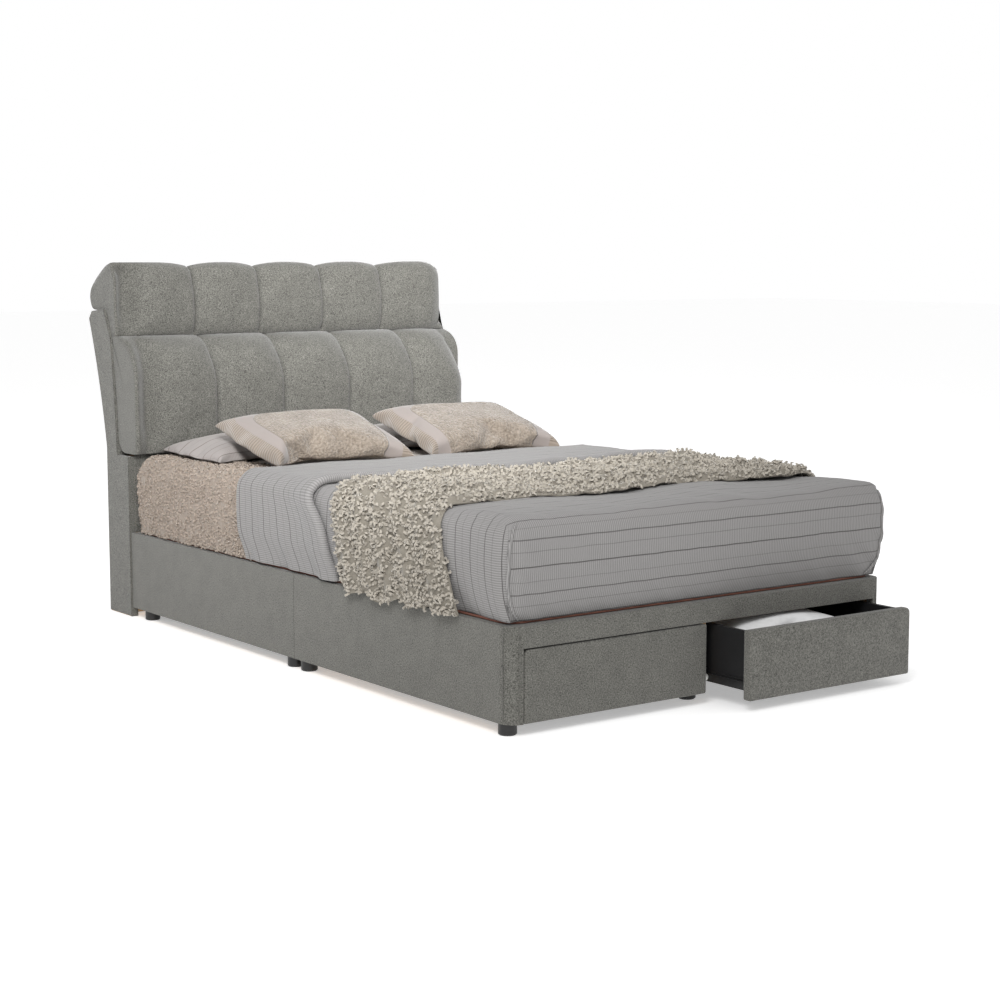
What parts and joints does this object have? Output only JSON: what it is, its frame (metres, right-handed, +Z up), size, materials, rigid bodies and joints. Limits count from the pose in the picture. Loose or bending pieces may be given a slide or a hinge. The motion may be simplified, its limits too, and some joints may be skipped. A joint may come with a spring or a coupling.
{
  "type": "platform bed with storage drawers",
  "caption": "Upholstered divan bed with foot-end drawers on roller runners, a raked headboard with a channelled cushion and a top roll, made up with mattress and bedding.",
  "frame": {"origin": "floor level, middle of the bed's plan with the right drawer part open", "axes": "+Y from the foot to the head, +X to the right as seen from the foot, +Z up"},
  "size_m": [1.247, 2.28, 1.052],
  "materials": {
    "timber": "sawn pine and birch ply, unfinished",
    "tweed": "heathered grey tweed weave, matt",
    "black_board": "black foil-wrapped board, satin",
    "runner_steel": "white epoxy-coated steel, satin",
    "nylon": "white nylon, smooth",
    "glide_plastic": "black moulded plastic, satin",
    "bolt_steel": "zinc-plated steel",
    "dust_cloth": "black non-woven cloth",
    "mattress_ticking": "knitted ticking",
    "fleece": "cream fleece with a curly pile",
    "duvet_cotton": "puckered grey cotton with thin dark stripes",
    "throw_pile": "cream knitted throw with a shaggy pile",
    "pillow_cotton": "striped cotton",
    "cushion_weave": "beige textured weave with a smooth border",
    "quilt_cotton": "white cotton"
  },
  "bodies": {
    "bed": {"foot_side_board_left": "timber", "foot_side_board_right": "timber", "foot_corner_block_left": "timber", "foot_corner_block_right": "timber", "foot_header_rail": "timber", "foot_centre_board": "timber", "foot_cross_board": "timber", "foot_battens": "timber", "foot_deck_board": "timber", "foot_cover": "tweed", "foot_glides": "glide_plastic", "head_side_board_left": "timber", "head_side_board_right": "timber", "head_cross_board": "timber", "head_end_board": "timber", "head_centre_board": "timber", "head_battens": "timber", "head_deck_board": "timber", "head_covers": "tweed", "head_dust_cloth": "dust_cloth", "head_glides": "glide_plastic", "joining_bolts": "bolt_steel", "headboard_cheek_left": "timber", "headboard_cheek_right": "timber", "headboard_front_panel": "timber", "headboard_rails": "timber", "headboard_backer": "timber", "headboard_roll_board": "timber", "headboard_side_covers": "tweed", "headboard_back_cloth": "tweed", "headboard_cushion": "tweed", "headboard_roll": "tweed", "headboard_bolts": "bolt_steel", "runner_rails": "timber", "left_cabinet_runners": "runner_steel", "right_cabinet_runners": "runner_steel", "mattress": "mattress_ticking", "fleece_sheet": "fleece", "duvet": "duvet_cotton", "throw": "throw_pile", "pillows": "pillow_cotton", "left_cushion": "cushion_weave", "right_cushion": "cushion_weave"},
    "left_drawer": {"left_front_board": "timber", "left_front_cover": "tweed", "left_drawer_sides": "black_board", "left_drawer_back": "black_board", "left_drawer_bottom": "black_board", "left_drawer_runners": "runner_steel"},
    "right_drawer": {"right_front_board": "timber", "right_front_cover": "tweed", "right_drawer_sides": "black_board", "right_drawer_back": "black_board", "right_drawer_bottom": "black_board", "right_drawer_runners": "runner_steel", "drawer_quilt": "quilt_cotton"},
    "left_front_roller_pair": {"left_front_rollers": "nylon"},
    "left_rear_roller_pair": {"left_rear_rollers": "nylon"},
    "right_front_roller_pair": {"right_front_rollers": "nylon"},
    "right_rear_roller_pair": {"right_rear_rollers": "nylon"}
  },
  "joints": [
    {"name": "left_drawer_slide", "type": "slide", "parent": "bed", "child": "left_drawer", "axis": [0, -1, 0], "range_m": [0, 0.44]},
    {"name": "right_drawer_slide", "type": "slide", "parent": "bed", "child": "right_drawer", "axis": [0, -1, 0], "range_m": [-0.13, 0.31]},
    {"name": "left_front_roller_spin", "type": "hinge", "parent": "bed", "child": "left_front_roller_pair", "pos_m": [0, -0.97402, 0.06], "axis": [1, 0, 0], "continuous": true},
    {"name": "right_front_roller_spin", "type": "hinge", "parent": "bed", "child": "right_front_roller_pair", "pos_m": [0, -0.97402, 0.06], "axis": [1, 0, 0], "continuous": true},
    {"name": "left_rear_roller_spin", "type": "hinge", "parent": "left_drawer", "child": "left_rear_roller_pair", "pos_m": [0, -0.39902, 0.0707], "axis": [1, 0, 0], "continuous": true},
    {"name": "right_rear_roller_spin", "type": "hinge", "parent": "right_drawer", "child": "right_rear_roller_pair", "pos_m": [0, -0.52902, 0.0707], "axis": [1, 0, 0], "continuous": true}
  ],
  "couplings": [
    {"joint": "left_front_roller_spin", "follows": "left_drawer_slide", "rad_per_m": 100},
    {"joint": "left_rear_roller_spin", "follows": "left_drawer_slide", "rad_per_m": 100},
    {"joint": "right_front_roller_spin", "follows": "right_drawer_slide", "rad_per_m": 100},
    {"joint": "right_rear_roller_spin", "follows": "right_drawer_slide", "rad_per_m": 100}
  ]
}
